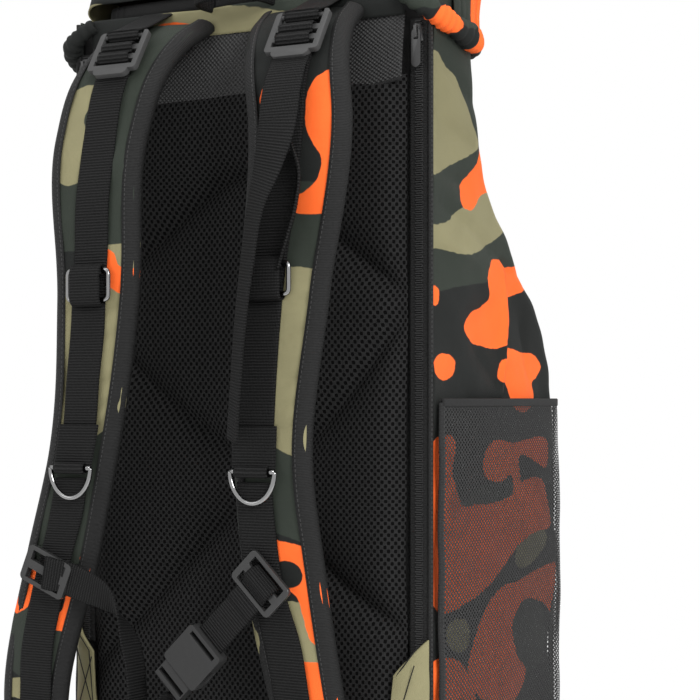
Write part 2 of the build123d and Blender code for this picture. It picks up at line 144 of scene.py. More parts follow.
# ---------------------------------------------------------------- meshes
def skin(name, rows, caps=False):
    """A smooth quad mesh through rows of points, with a UV map in metres along its middle lines."""
    rows = np.asarray(rows, float)
    if caps:
        first, last = rows[:1].mean(1, keepdims=True), rows[-1:].mean(1, keepdims=True)
        rows = np.concatenate([rows[:1] * .25 + first * .75, rows, rows[-1:] * .25 + last * .75])
    n, m = rows.shape[:2]
    mesh = bpy.data.meshes.new(name)
    index = np.arange(n * m).reshape(n, m)
    faces = np.stack([index[:-1, :-1], index[:-1, 1:], index[1:, 1:], index[1:, :-1]], -1).reshape(-1, 4)
    mesh.from_pydata(rows.reshape(-1, 3).tolist(), [], faces.tolist())
    u = np.r_[0, np.cumsum(np.linalg.norm(np.diff(rows[n // 2], axis=0), axis=1))]
    v = np.r_[0, np.cumsum(np.linalg.norm(np.diff(rows[:, m // 2], axis=0), axis=1))]
    places = np.stack(np.broadcast_arrays(u[None, :], v[:, None]), -1).reshape(-1, 2)
    mesh.uv_layers.new(name="UVMap").data.foreach_set("uv", places[faces.reshape(-1)].reshape(-1))
    mesh.polygons.foreach_set("use_smooth", [True] * len(mesh.polygons))
    obj = bpy.data.objects.new(name, mesh)
    bpy.context.collection.objects.link(obj)
    return obj


def teeth(name, path, normal, pitch=.0016, width=.0055, height=.0016):
    """A row of small zip teeth along a path."""
    path = track(path, pitch, smooth=False)
    along = unit(np.gradient(path, axis=0))
    across = unit(np.cross(along, normal))
    made = bmesh.new()
    for index, (place, way, side) in enumerate(zip(path, along, across)):
        shift = side * (.0004 if index % 2 else -.0004)
        corners = []
        for lift, reach, run in ((0, .5, .34), (height, .42, .26)):
            for a, b in ((-1, -1), (1, -1), (1, 1), (-1, 1)):
                corners.append(made.verts.new(place + shift + side * a * width * reach + way * b * pitch * run
                                              + np.array(normal) * lift))
        for loop in ((4, 5, 6, 7), (0, 1, 5, 4), (1, 2, 6, 5), (2, 3, 7, 6), (3, 0, 4, 7)):
            made.faces.new([corners[i] for i in loop])
    bmesh.ops.recalc_face_normals(made, faces=made.faces)
    mesh = bpy.data.meshes.new(name)
    made.to_mesh(mesh)
    made.free()
    obj = bpy.data.objects.new(name, mesh)
    bpy.context.collection.objects.link(obj)
    return obj


def softened(node, look, body, width=.0005):
    """The CAD piece again with rounded edges."""
    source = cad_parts[node]
    made = bmesh.new()
    made.from_mesh(source.data)
    bmesh.ops.remove_doubles(made, verts=made.verts, dist=1e-6)
    bmesh.ops.dissolve_limit(made, angle_limit=.02, verts=made.verts, edges=made.edges)
    mesh = bpy.data.meshes.new(f"{node}_look")
    made.to_mesh(mesh)
    made.free()
    mesh.polygons.foreach_set("use_smooth", [True] * len(mesh.polygons))
    obj = bpy.data.objects.new(f"{node}_look", mesh)
    obj.matrix_world = source.matrix_world.copy()
    bpy.context.collection.objects.link(obj)
    bevel = obj.modifiers.new("Edges", "BEVEL")
    bevel.width, bevel.segments, bevel.limit_method, bevel.angle_limit = width, 3, "ANGLE", .6
    bevel.harden_normals = True
    return settle(obj, look, body, [node])


def thicken(obj, amount, offset=1):
    """Turns a surface into a wall."""
    shell = obj.modifiers.new("Thickness", "SOLIDIFY")
    shell.thickness, shell.offset = amount, offset
    return obj


def settle(obj, look, body="root", nodes=(), ends=None):
    """Gives a piece its look and the body it moves with; a piece given ends gets no body and stays fixed where it is
    made.
    """
    obj.data.materials.clear()
    obj.data.materials.append(look)
    if ends:
        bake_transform(obj)
    else:
        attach(obj, body)
    if nodes:
        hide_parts(*nodes)
    return obj


def rod(name, path, side, section, look, body="root", nodes=(), ends=None):
    """A section carried along a path, closed at both ends."""
    return settle(skin(name, swept(path, side, section), caps=True), look, body, nodes, ends)


# ---------------------------------------------------------------- looks
class Look:
    """A small builder for one procedural material."""

    def __init__(self, name, **settings):
        self.material = bpy.data.materials.new(name)
        self.material.use_nodes = True
        self.tree = self.material.node_tree
        self.shader = self.tree.nodes["Principled BSDF"]
        for key, value in {"Specular_IOR_Level": .18, **settings}.items():
            self.shader.inputs[key.replace("_", " ")].default_value = value

    def node(self, kind, inputs=(), **settings):
        made = self.tree.nodes.new("ShaderNode" + kind)
        for key, value in settings.items():
            setattr(made, key, value)
        for key, value in dict(inputs).items():
            self.put(made.inputs[key], value)
        return made

    def put(self, socket, value):
        if isinstance(value, bpy.types.NodeSocket):
            self.tree.links.new(value, socket)
        else:
            socket.default_value = value

    def math(self, operation, *values, clamp=False):
        return self.node("Math", enumerate(values), operation=operation, use_clamp=clamp).outputs[0]

    def mix(self, factor, a, b):
        return self.node("Mix", {0: factor, 6: a, 7: b}, data_type="RGBA").outputs[2]

    def places(self):
        """The UV place, and the lengths in metres across and along the piece."""
        source = self.node("UVMap", uv_map="UVMap").outputs[0]
        return source, *self.node("SeparateXYZ", {0: source}).outputs[:3]

    def wave(self, length, pitch, shift=0):
        return self.math("SINE", self.math("MULTIPLY_ADD", length, TURN / pitch, shift))

    def noise(self, place, scale, detail=2):
        return self.node("TexNoise", {"Vector": place, "Scale": scale, "Detail": detail}).outputs[0]

    def edge(self, value, start, sharpness):
        """0 below start and 1 above it."""
        return self.math("MULTIPLY_ADD", self.math("SUBTRACT", value, start), sharpness, .5, clamp=True)

    def bump(self, height, depth):
        made = self.node("Bump", {"Strength": 1, "Distance": depth, "Height": height})
        self.put(self.shader.inputs["Normal"], made.outputs[0])

    def colour(self, value):
        self.put(self.shader.inputs["Base Color"], value)


def grey(value):
    return (value, value, value, 1)


DARK = (.01, .0112, .0104, 1)
GREEN = (.026, .032, .025, 1)
KHAKI = (.232, .214, .118, 1)
ORANGE = (.92, .14, .024, 1)


def camo_look(name, weave=.0009):
    look = Look(name, Roughness=.72)
    _, u, v, _ = look.places()
    where = look.node("TexCoord").outputs["Object"]
    wobble = look.math("MULTIPLY_ADD", look.noise(where, 170, 1), .0018, -.0009)
    colour = DARK
    for tone, mixed in (("green", GREEN), ("khaki", KHAKI), ("orange", ORANGE)):
        inside = look.math("ADD", look.node("Attribute", attribute_name=tone).outputs["Fac"], wobble)
        colour = look.mix(look.edge(inside, 0, 1600), colour, mixed)
    threads = look.math("MULTIPLY", look.wave(u, weave), look.wave(v, weave))
    uneven = look.math("MULTIPLY_ADD", look.noise(where, 40, 4), .22, .89)
    shade = look.math("MULTIPLY_ADD", threads, .07, uneven)
    tint = look.node("VectorMath", {0: colour, 1: look.node("CombineXYZ", {0: shade, 1: shade, 2: shade}).outputs[0]},
                     operation="MULTIPLY").outputs[0]
    look.colour(tint)
    look.bump(look.math("MULTIPLY_ADD", threads, .12, look.noise(where, 90, 3)), .0007)
    return look.material


def webbing_look():
    look = Look("Webbing", Roughness=.58, Specular_IOR_Level=.07)
    source, u, v, _ = look.places()
    ribs = look.wave(v, .0021)
    columns = look.wave(u, .0012)
    threads = look.math("MULTIPLY_ADD", columns, .45, ribs)
    fuzz = look.noise(source, 900, 2)
    look.colour(look.mix(look.math("MULTIPLY_ADD", threads, .3, fuzz, clamp=True), grey(.004), grey(.024)))
    look.bump(look.math("ADD", threads, fuzz), .00038)
    return look.material


def cloth_look(name, low, high, pitch, depth=.0004, roughness=.75):
    """A plain dark cloth with a basket weave."""
    look = Look(name, Roughness=roughness)
    source, u, v, _ = look.places()
    threads = look.math("MULTIPLY", look.wave(u, pitch), look.wave(v, pitch))
    fuzz = look.noise(source, 700, 2)
    look.colour(look.mix(look.math("MULTIPLY_ADD", threads, .4, fuzz, clamp=True), low, high))
    look.bump(look.math("MULTIPLY_ADD", threads, .6, fuzz), depth)
    return look.material


def binding_look():
    look = Look("Binding", Roughness=.62)
    source, u, v, _ = look.places()
    ribs = look.wave(v, .0011)
    offset = look.math("ABSOLUTE", look.math("SUBTRACT", u, .0022))
    line = look.math("SUBTRACT", 1, look.edge(offset, .00035, 6000), clamp=True)
    dash = look.edge(look.wave(v, .0034), -.35, 8)
    stitch = look.math("MULTIPLY", line, dash)
    look.colour(look.mix(stitch, look.mix(look.noise(source, 500), grey(.009), grey(.022)), grey(.06)))
    look.bump(look.math("MULTIPLY_ADD", stitch, 2.5, ribs), .00022)
    return look.material


def air_mesh_look():
    look = Look("Air mesh", Roughness=.8, Specular_IOR_Level=.05)
    source, u, v, _ = look.places()
    cells = look.math("MULTIPLY", look.wave(u, .005), look.wave(v, .0058))
    hole = look.edge(cells, .22, 4.5)
    threads = look.math("MULTIPLY", look.wave(u, .0012), look.wave(v, .0009))
    mottled = look.math("MULTIPLY_ADD", threads, .3, look.noise(source, 300), clamp=True)
    cloth = look.mix(mottled, grey(.01), grey(.026))
    look.colour(look.mix(hole, cloth, grey(.002)))
    look.bump(look.math("SUBTRACT", look.math("MULTIPLY", threads, .1), hole), .0008)
    return look.material


def net_look():
    look = Look("Net", Roughness=.7)
    source, u, v, _ = look.places()
    cells = look.math("MULTIPLY", look.wave(u, .0042), look.wave(v, .0036))
    hole = look.edge(cells, .25, 5)
    look.colour(look.mix(look.noise(source, 600), grey(.014), grey(.042)))
    look.bump(look.math("SUBTRACT", 1, hole), .0005)
    look.put(look.shader.inputs["Alpha"], look.math("SUBTRACT", 1, look.math("MULTIPLY", hole, .93)))
    return look.material


def plain_look(name, colour, roughness, metallic=0, grain=0):
    look = Look(name, Roughness=roughness, Metallic=metallic)
    where = look.node("TexCoord").outputs["Object"]
    look.colour(look.mix(look.noise(where, 260, 3), [c * .85 for c in colour[:3]] + [1], colour))
    if grain:
        look.bump(look.noise(where, 900, 2), grain)
    return look.material


CAMO = camo_look("Camouflage cloth")
WEBBING = webbing_look()
BLACK = cloth_look("Black cloth", grey(.01), grey(.024), .0011)
YOKE = cloth_look("Yoke weave", grey(.01), grey(.058), .0036, .001, .6)
BINDING = binding_look()
AIR_MESH = air_mesh_look()
NET = net_look()
PLASTIC = plain_look("Black plastic", grey(.03), .42, 0, .00004)
GUNMETAL = plain_look("Dark lacquered metal", grey(.06), .3, .55)
LOCK_GREY = plain_look("Grey plastic", grey(.058), .42, 0, .00003)
CHROME = plain_look("Bright wire", grey(.3), .14, 1)
SHEET = plain_look("Frame sheet", grey(.05), .5)
STAY = plain_look("Aluminium stay", grey(.55), .35, 1)


# ---------------------------------------------------------------- camouflage
def within(places, outline):
    """How far places lie inside a smooth closed outline, in metres. Outside it is negative."""
    corners = np.array(outline, float)
    loop = track(np.concatenate([corners[-2:], corners, corners[:2]]), .003)
    first = np.argmin(np.linalg.norm(loop[:len(loop) // 2] - corners[0], axis=1))
    last = len(loop) // 2 + np.argmin(np.linalg.norm(loop[len(loop) // 2:] - corners[0], axis=1))
    loop = loop[first:last]
    depth = np.full(len(places), -.03)
    close = np.all((places > loop.min(0) - .02) & (places < loop.max(0) + .02), axis=1)
    spots = places[close][:, None]
    start, end = loop[None], np.roll(loop, -1, axis=0)[None]
    run = end - start
    share = np.clip(np.sum((spots - start) * run, -1) / np.maximum(np.sum(run * run, -1), 1e-12), 0, 1)
    gap = np.min(np.linalg.norm(spots - start - share[..., None] * run, axis=-1), axis=1)
    crossed = (start[..., 1] > spots[..., 1]) != (end[..., 1] > spots[..., 1])
    rise = np.where(run[..., 1] == 0, 1e-12, run[..., 1])
    reach = start[..., 0] + (spots[..., 1] - start[..., 1]) * run[..., 0] / rise
    inside = np.sum(crossed & (spots[..., 0] < reach), axis=1) % 2 == 1
    depth[close] = np.where(inside, gap, -gap)
    return depth


def paint(obj, blobs=(), plan=(1, 2), seed=3, loose=None, only=None):
    """Stores on each vertex how far it lies inside the green, khaki and orange shapes, in metres.
    A blob is (tone, outline) or (tone, across, up, half width, half height, turn in degrees), in the plan of two
    of the axes. loose gives 1 where scattered shapes are wanted and 0 where they aren't, and only gives where the
    blobs count."""
    count = len(obj.data.vertices)
    points = np.empty(count * 3)
    obj.data.vertices.foreach_get("co", points)
    points = points.reshape(-1, 3)
    free = np.ones(count) if loose is None else loose(points)
    flat = points[:, list(plan)]
    counts = np.ones(count, bool) if only is None else only(points)
    depth = {"green": (lumps(points, .05, seed) - .1) * .02, "khaki": (lumps(points, .045, seed + 1) - .75) * .016,
             "orange": (lumps(points, .036, seed + 2) - .95) * .014, "dark": np.full(count, -.05)}
    for tone in depth:
        depth[tone] = depth[tone] * free - .05 * (1 - free)
    for tone, a, *rest in blobs:
        if isinstance(a, list):
            depth[tone] = np.where(counts, np.maximum(depth[tone], within(flat, a)), depth[tone])
            continue
        b, half_a, half_b, *turn = rest
        angle = np.radians(turn[0] if turn else 0)
        along = (flat[:, 0] - a) * np.cos(angle) + (flat[:, 1] - b) * np.sin(angle)
        up = (flat[:, 1] - b) * np.cos(angle) - (flat[:, 0] - a) * np.sin(angle)
        inside = (1 - np.hypot(along / half_a, up / half_b)) * min(half_a, half_b)
        joined = np.logaddexp(depth[tone] / .0022, inside / .0022) * .0022
        depth[tone] = np.where(counts, joined, depth[tone])
    for tone in ("green", "khaki", "orange"):
        values = np.minimum(depth[tone], -depth["dark"])
        layer = obj.data.attributes.new(tone, "FLOAT", "POINT")
        layer.data.foreach_set("value", values)
    return obj


def wrinkled(rows, seed, depth=.0012, size=.03, ridges=()):
    """Rows pushed out and in along their normals by soft creases.
    A ridge is (start, end, half width, height) between two points."""
    rows = np.asarray(rows, float)
    normal = unit(np.cross(np.gradient(rows, axis=0), np.gradient(rows, axis=1)))
    push = lumps(rows, size, seed) * depth + lumps(rows, size * .4, seed + 1) * depth * .35
    for start, end, half, height in ridges:
        start, end = np.array(start), np.array(end)
        run = end - start
        share = np.clip(((rows - start) @ run) / (run @ run), 0, 1)
        gap = np.linalg.norm(rows - start - share[..., None] * run, axis=-1)
        push += height * np.exp(-((gap / half) ** 2)) * np.sin(np.pi * np.clip(share, .04, .96)) ** .5
    return rows + normal * push[..., None], normal


# ---------------------------------------------------------------- bag
SIDE_BLOBS = [
    ("green", [(-.02, .62), (.17, .62), (.17, .398), (.08, .3935), (.055, .3905), (.0305, .3873), (.0085, .3833),
               (-.02, .381)]),
    ("khaki", [(-.012, .552), (.007, .55), (.018, .5427), (.0305, .5373), (.045, .522), (.061, .504), (.074, .4935),
               (.048, .48), (.026, .4725), (.0115, .4669), (-.012, .465)]),
    ("khaki", [(-.012, .429), (.0085, .4307), (.026, .4351), (.039, .4417), (.06, .452), (.09, .462), (.115, .464),
               (.14, .444), (.1232, .4357), (.102, .4259), (.0714, .4167), (.0467, .4116), (.0085, .4139),
               (-.012, .415)]),
    ("orange", [(.08, .493), (.0714, .4798), (.055, .4674), (.045, .4579), (.0435, .4486), (.055, .444),
                (.0647, .4466), (.0748, .4547), (.0884, .4595), (.1037, .46), (.125, .458), (.115, .49)]),
    ("orange", [(.0884, .409), (.098, .4115), (.1075, .411), (.1085, .38), (.1085, .35), (.095, .3455),
                (.0714, .3472), (.0516, .351), (.043, .3595), (.0515, .369), (.0714, .3754), (.0816, .3824),
                (.0785, .396)]),
    ("orange", [(.109, .4064), (.125, .407), (.15, .407), (.16, .395), (.143, .3875), (.1232, .3842),
                (.109, .382)]),
    ("orange", .008, .381, .005, .007), ("orange", .018, .331, .017, .0095), ("orange", .106, .3295, .009, .009),
    ("orange", [(.109, .3428), (.15, .3436), (.178, .3405), (.1855, .3338), (.18, .3262), (.1665, .3197),
                (.1685, .312), (.156, .3), (.132, .303), (.125, .3155), (.118, .3266)]),
    ("orange", [(.014, .283), (.027, .282), (.028, .25), (.036, .236), (.07, .232), (.115, .234), (.15, .247),
                (.19, .243), (.2, .212), (.165, .207), (.12, .19), (.085, .17), (.05, .16), (.014, .158)]),
    ("orange", [(.092, .2736), (.132, .2755), (.197, .269), (.197, .26), (.142, .264), (.141, .232), (.129, .232),
                (.127, .252), (.109, .247), (.09, .253), (.0867, .264)]),
    ("orange", [(.2165, .178), (.178, .178), (.141, .172), (.1055, .168), (.085, .155), (.068, .134), (.055, .118),
                (.068, .098), (.141, .088), (.154, .102), (.132, .12), (.127, .139), (.141, .153), (.1875, .152),
                (.2165, .142)]),
    ("orange", [(.000, .125), (.05, .115), (.07, .09), (.06, .06), (.014, .05), (.000, .055)]),
    ("green", .11, .225, .07, .022), ("green", .15, .13, .05, .03), ("khaki", .16, .195, .03, .012, 15),
    ("khaki", .04, .14, .02, .012), ("khaki", .15, .06, .03, .02),
]
# a crease runs from one (x, y, z) to another, with its half width and height
SIDE_CREASES = [
    (.153, .112, .3, .153, .114, .41, .0035, .004), (.153, .104, .3, .153, .105, .4, .004, -.003),
    (.153, .11, .409, .15, .15, .401, .003, .003), (.152, .012, .545, .152, .06, .52, .006, .003),
    (.152, .01, .505, .152, .072, .487, .007, .003), (.152, .01, .47, .152, .06, .462, .005, .0025),
    (.153, .012, .448, .153, .1, .418, .006, .003), (.153, .014, .42, .153, .06, .408, .005, -.002),
    (.153, .15, .375, .15, .165, .315, .006, .003), (.153, .06, .345, .153, .11, .312, .006, .0025)]
COLUMNS = np.concatenate([np.linspace(part, part + 1, count)[min(part, 1):]
                          for part, count in enumerate((66, 14, 96, 14, 66))])


def bag_loop(height):
    """One level line round the sides and front of the bag."""
    depth = at(FRONT, height)
    corner = min(.02, depth * .3)
    half = .1512
    x, y = np.empty(len(COLUMNS)), np.empty(len(COLUMNS))
    for index, place in enumerate(COLUMNS):
        part = min(int(place), 4)
        t = place - part
        if part == 0:
            x[index], y[index] = half, .0008 + t * (depth - corner)
        elif part == 1:
            x[index] = half - corner + corner * np.cos(t * TURN / 4)
            y[index] = depth - corner + corner * np.sin(t * TURN / 4)
        elif part == 2:
            x[index], y[index] = (half - corner) * (1 - 2 * t), depth
        elif part == 3:
            x[index] = -half + corner - corner * np.sin(t * TURN / 4)
            y[index] = depth - corner + corner * np.cos(t * TURN / 4)
        else:
            x[index], y[index] = -half, .0008 + (1 - t) * (depth - corner)
    swell = np.sin(np.pi * np.clip(y / depth, 0, 1)) ** .8
    x += np.sign(x) * .0035 * swell * (np.abs(x) > .12)
    return np.stack([x, y, np.full_like(x, height)], 1)


rows = np.array([bag_loop(z) for z in np.linspace(.001, .6, 201)])
folds = [((side * x, y, z), (side * far_x, far_y, far_z), half, height) for side in (1, -1)
         for x, y, z, far_x, far_y, far_z, half, height in SIDE_CREASES]
rows, _ = wrinkled(rows, 11, .0014, .04, folds)
x, y, z = np.moveaxis(rows, -1, 0)
window = np.clip((z - .3) / .012, 0, 1) * np.clip((.414 - z) / .008, 0, 1) * (np.abs(x) > .12)
pleat = .005 * np.clip((.1095 - y) / .0022, 0, 1) * np.clip((y - .05) / .058, 0, 1) ** 1.6
pleat -= .003 * np.clip((y - .1095) / .0015, 0, 1) * np.clip((.15 - y) / .04, 0, 1)
rows[..., 0] += np.sign(x) * pleat * window
bag = paint(skin("bag_shell", rows), SIDE_BLOBS, (1, 2), 3,
            lambda p: np.where(p[:, 0] > .133, 0., 1.), lambda p: p[:, 0] > .133)
thicken(bag, CLOTH, -1)
settle(bag, CAMO, nodes=["bag_side_left", "bag_side_right", "bag_front"])

loop = bag_loop(.0012)
loop = np.concatenate([loop, loop[:1]])
middle = np.array([0, .09, .0006])
floor_rows = [middle + (loop - middle) * k for k in (.01, .3, .6, .85, .985)]
base = thicken(skin("bag_base", floor_rows), .0015)
settle(base, BLACK, nodes=["bag_bottom"])
rear = np.array([[(x, .0012, z) for x in np.linspace(-.149, .149, 40)] for z in np.linspace(.004, .598, 60)])
settle(thicken(skin("bag_rear_cloth", rear), CLOTH, -1), BLACK, nodes=["bag_rear"])

def collar_path(height, grow=0, wave=0):
    """One level line round the snow collar."""
    turn = np.linspace(0, TURN, 161)
    x = np.sign(np.cos(turn)) * np.abs(np.cos(turn)) ** .28 * (.134 + grow)
    y = .032 + np.sign(np.sin(turn)) * np.abs(np.sin(turn)) ** .4 * (.0225 + grow)
    ripple = 1 + wave * np.sin(turn * 37) * .01
    return np.stack([x * ripple, y, np.full_like(x, height)], 1)


collar = skin("collar_cloth", [collar_path(.6005, 0, .3), collar_path(.604, .0005, 1), collar_path(.608, 0, 1.4),
                               collar_path(.611, -.001, 1.6)])
settle(thicken(collar, CLOTH), BLACK, nodes=["snow_collar"])

# ---------------------------------------------------------------- side zips
for side, sign in SIGNS.items():
    z = np.linspace(.122, .574, 150)
    lip = np.stack([np.full_like(z, sign * .1435), np.full_like(z, -.0012), z], 1)
    rod(f"side_zip_tape_{side}", lip, (1, 0, 0), oval(.0158, .0012, 6, 20), BINDING, nodes=["side_zips"])
    coil = teeth(f"side_zip_teeth_{side}", [(sign * .1435, -.0017, .124), (sign * .1435, -.0017, .572)], (0, -1, 0))
    settle(coil, PLASTIC, nodes=["side_zips"])
    edge = np.stack([np.full(100, sign * .1518), np.full(100, -.0012), np.linspace(.006, .598, 100)], 1)
    rod(f"side_piping_{side}", edge, (1, 0, 0), oval(.0042, .0042, 2, 12), BINDING)

# ---------------------------------------------------------------- back panel
across = np.linspace(-PAD_HALF, PAD_HALF, 108)
up = np.linspace(.004, .536, 200)
grid_x, grid_z = np.meshgrid(across, up)
near = np.full(grid_x.shape, .2)
for seam in PAD_SEAMS:
    for x, z in track(seam, .0015, smooth=True):
        near = np.minimum(near, np.hypot(grid_x - x, grid_z - z))
rim = np.minimum(np.minimum(grid_x + PAD_HALF, PAD_HALF - grid_x), np.minimum(grid_z - .004, .54 - grid_z))
puff = (1 - .86 * np.exp(-((near / .0115) ** 1.1))) * (1 - .8 * np.exp(-((rim / .008) ** 1.4)))
puff += .05 * lumps(np.stack([grid_x, grid_z * 0, grid_z], -1), .05, 21)
pad_rows = np.stack([grid_x, -.0003 - .0135 * np.clip(puff, 0, 1.1), grid_z], -1)
pad = skin("back_pad_mesh", pad_rows)
settle(thicken(pad, .0006, 1), AIR_MESH, nodes=["back_pad"])

x = np.linspace(-.1345, .1345, 90)
low = .5155 + .016 * (np.abs(x) / PAD_HALF) ** 1.5
share = np.linspace(0, 1, 22)[:, None]
yoke_rows = np.stack([np.broadcast_to(x, (22, 90)), -.0108 - .0012 * np.sin(np.pi * share) + .006 * share + 0 * x,
                      low + (.578 - low) * share], -1)
yoke = thicken(skin("yoke_weave", yoke_rows), CLOTH)
settle(yoke, YOKE, nodes=["yoke_panel"])
hem = np.stack([x, np.full_like(x, -.0115), low + .0006], 1)
rod("yoke_hem", hem, (0, 0, 1), oval(.003, .0014, 2, 10), BLACK)
share = np.linspace(0, 1, 12)[:, None]
strip = np.stack([np.broadcast_to(x, (12, 90)), -.0052 - .002 * np.sin(np.pi * share) + 0 * x,
                  np.linspace(.5775, .598, 12)[:, None] + 0 * x], -1)
strip, _ = wrinkled(strip, 5, .0009, .03)
strip = paint(skin("yoke_strip", strip), [
    ("khaki", -.04, .588, .06, .011), ("khaki", .012, .584, .03, .006), ("orange", -.052, .583, .022, .006, -12),
    ("green", .03, .594, .05, .006)], (0, 2), 9, lambda p: np.zeros(len(p)))
settle(thicken(strip, .001), CAMO, nodes=["yoke_panel"])

# ---------------------------------------------------------------- shoulder straps and their webbing
BAND = oval(.03, .002, 7, 28)
NARROW = oval(.025, .0016, 7, 24)
WIRE = oval(.0035, .0035, 2, 14)


def strap_rows(side, table, section, top, bottom, halves=None, lift=0):
    """Rows across a strap's width from top to bottom. section is (across, outward) for each point."""
    line = track(STRAP_LINE, .0015)
    down = unit(np.gradient(line, axis=0))
    keep = (line[:, 1] <= top) & (line[:, 1] >= bottom)
    line, out = line[keep], np.stack([down[:, 1], -down[:, 0]], 1)[keep]
    x = at(table[side], line[:, 1])
    scale = at(halves, line[:, 1]) if halves else np.ones(len(x))
    outward = section[None, :, 1] + lift
    return np.stack([x[:, None] + scale[:, None] * section[None, :, 0],
                     line[:, :1] + out[:, :1] * outward, line[:, 1:] + out[:, 1:] * outward], -1)


def strap_place(side, height, offset):
    """A point on the rail's centre line, in front of the strap's middle."""
    depth = at([(z, y) for y, z in STRAP_LINE], height)
    return np.array([at(RAIL_CENTRES[side], height), depth - offset, height])


def band(name, path, side=(1, 0, 0), section=BAND, body="root", nodes=(), ends=None):
    """A length of webbing."""
    return rod(name, path, side, section, WEBBING, body, nodes, ends)


def wrap(name, centre, up, out, radii, width, body="root", nodes=()):
    """Webbing wrapped once round a bar that lies across up and out."""
    turn = np.linspace(-TURN / 2, TURN / 2, 41)[:, None]
    path = np.array(centre) + np.array(up) * radii[0] * np.sin(turn) + np.array(out) * radii[1] * np.cos(turn)
    return band(name, path, np.cross(up, out), oval(width, .0015, 7, 24), body, nodes)


STRAP_BLOBS = {
    "left": [
        ("green", [(.02, .44), (.13, .44), (.13, .383), (.02, .383)]),
        ("green", [(.02, .285), (.0655, .276), (.0855, .2665), (.13, .262), (.13, .198), (.09, .206), (.075, .212),
                   (.06, .216), (.02, .22)]),
        ("green", [(.02, .134), (.13, .131), (.13, .112), (.02, .108)]), ("green", .07, .6, .05, .012),
        ("khaki", [(.01, .384), (.13, .384), (.13, .262), (.0855, .2665), (.0655, .276), (.01, .285)]),
        ("khaki", [(.02, .143), (.13, .143), (.13, .13), (.085, .132), (.02, .133)]),
        ("khaki", [(.02, .111), (.13, .115), (.13, .104), (.02, .1)]), ("khaki", .09, .06, .03, .012),
        ("orange", [(.13, .533), (.096, .5285), (.0905, .5166), (.0905, .503), (.0915, .496), (.096, .4858),
                    (.105, .472), (.103, .4585), (.094, .45), (.082, .443), (.086, .436), (.0977, .434),
                    (.13, .44)]),
        ("orange", [(.04, .216), (.056, .2135), (.066, .21), (.076, .2085), (.092, .204), (.13, .195), (.13, .142),
                    (.084, .1415), (.0795, .156), (.076, .17), (.07, .176), (.04, .178)]),
        ("orange", [(.02, .101), (.13, .105), (.13, .084), (.02, .08)]),
        ("orange", .0555, .518, .004, .008), ("orange", .089, .321, .003, .006), ("orange", .0885, .2135, .002, .004),
        ("dark", .069, .1865, .0125, .0095), ("dark", .118, .408, .022, .008, 55)],
    "right": [
        ("green", [(-.03, .6), (-.03, .424), (-.072, .4185), (-.14, .42), (-.14, .6)]),
        ("green", [(-.03, .302), (-.073, .289), (-.14, .27), (-.15, .235), (-.09, .232), (-.066, .258),
                   (-.03, .262)]),
        ("green", [(-.06, .23), (-.0905, .2316), (-.15, .235), (-.17, .2), (-.115, .186), (-.075, .2)]),
        ("green", [(-.11, .135), (-.19, .138), (-.19, .11), (-.12, .105)]), ("khaki", -.16, .088, .04, .009),
        ("khaki", [(-.084, .536), (-.0975, .512), (-.094, .501), (-.097, .485), (-.0995, .4667), (-.112, .465),
                   (-.125, .5), (-.115, .535)]),
        ("khaki", [(-.074, .4185), (-.06, .4205), (-.04, .4195), (-.04, .396), (-.062, .4), (-.068, .408)]),
        ("khaki", [(-.14, .388), (-.04, .388), (-.04, .305), (-.0525, .3), (-.073, .289), (-.1, .275),
                   (-.145, .27)]),
        ("khaki", [(-.056, .264), (-.0733, .228), (-.0905, .2316), (-.083, .245), (-.074, .25)]),
        ("orange", [(-.08, .418), (-.071, .417), (-.066, .4136), (-.0617, .405), (-.04, .4), (-.04, .3866),
                    (-.0625, .385), (-.073, .391), (-.082, .392)]),
        ("orange", [(-.08, .2045), (-.1, .197), (-.11, .19), (-.104, .18), (-.092, .186), (-.082, .192)]),
        ("orange", [(-.143, .137), (-.128, .154), (-.122, .167), (-.108, .167), (-.103, .158), (-.112, .141),
                    (-.122, .136)]),
        ("orange", [(-.148, .182), (-.154, .17), (-.164, .15), (-.176, .146), (-.185, .165), (-.165, .185)]),
        ("orange", -.06, .271, .005, .009), ("orange", -.17, .062, .05, .009)],
}
EDGE = np.array([(-.0105, .0074), (-.007, .0069), (-.0035, .0056), (-.0008, .0038), (.0008, .0015), (.001, -.0008),
                 (0, -.0034), (-.003, -.0054), (-.007, -.0066), (-.0105, -.007)])
section = oval(2, .0128, 3.2, 64)
section[:, 1] += .001 * (1 - section[:, 0] ** 2) * (section[:, 1] > 0)
